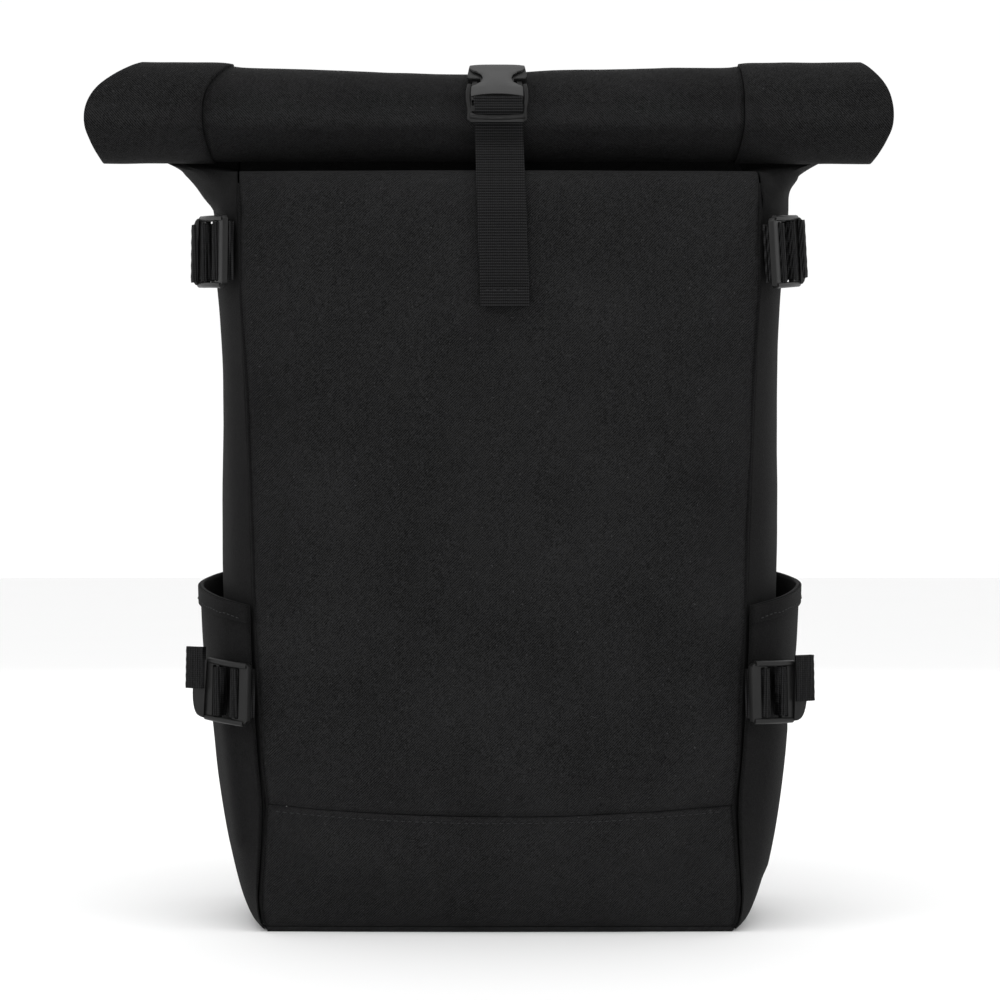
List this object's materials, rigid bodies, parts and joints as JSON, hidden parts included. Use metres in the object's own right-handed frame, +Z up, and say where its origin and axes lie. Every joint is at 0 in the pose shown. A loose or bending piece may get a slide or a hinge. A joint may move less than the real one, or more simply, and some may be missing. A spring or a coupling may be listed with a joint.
{
  "type": "rolltop backpack",
  "caption": "Black canvas rolltop backpack with a rolled and buckled closure, side compression straps, open side pockets and padded shoulder straps.",
  "frame": {"origin": "middle of the flat base, between the front and back seams", "axes": "+Z up along the height, the front faces -Y, +X to the right as seen from the front"},
  "size_m": [0.422, 0.2035, 0.452],
  "materials": {
    "canvas": "matt black brushed canvas",
    "hem_canvas": "folded canvas hem with a stitch line",
    "pad_mesh": "padded black spacer mesh",
    "webbing": "ribbed black woven webbing",
    "lock_plastic": "satin moulded black acetal",
    "buckle_plastic": "satin moulded black acetal"
  },
  "bodies": {
    "root": {"front_panel": "canvas", "lower_front_panel": "canvas", "back_panel": "canvas", "side_panel_right": "canvas", "side_panel_left": "canvas", "base_panel": "canvas", "roll_centre": "canvas", "roll_end_left": "canvas", "roll_end_right": "canvas", "side_pocket_right": "canvas", "side_pocket_left": "canvas", "pocket_hem_right": "hem_canvas", "pocket_hem_left": "hem_canvas", "back_pad": "pad_mesh", "shoulder_strap_right": "pad_mesh", "shoulder_web_right": "webbing", "lower_lock_right": "lock_plastic", "lower_anchor_right": "webbing", "lower_strap_right": "webbing", "lower_tab_right": "webbing", "upper_lock_right": "lock_plastic", "upper_anchor_right": "webbing", "upper_strap_right": "webbing", "upper_tab_right": "webbing", "shoulder_strap_left": "pad_mesh", "shoulder_web_left": "webbing", "lower_lock_left": "lock_plastic", "lower_anchor_left": "webbing", "lower_strap_left": "webbing", "lower_tab_left": "webbing", "upper_lock_left": "lock_plastic", "upper_anchor_left": "webbing", "upper_strap_left": "webbing", "upper_tab_left": "webbing", "front_strap": "webbing", "front_strap_hem": "webbing", "roll_strap": "webbing", "haul_loop": "webbing", "buckle_plug": "buckle_plastic", "buckle_socket": "buckle_plastic"}
  },
  "joints": []
}
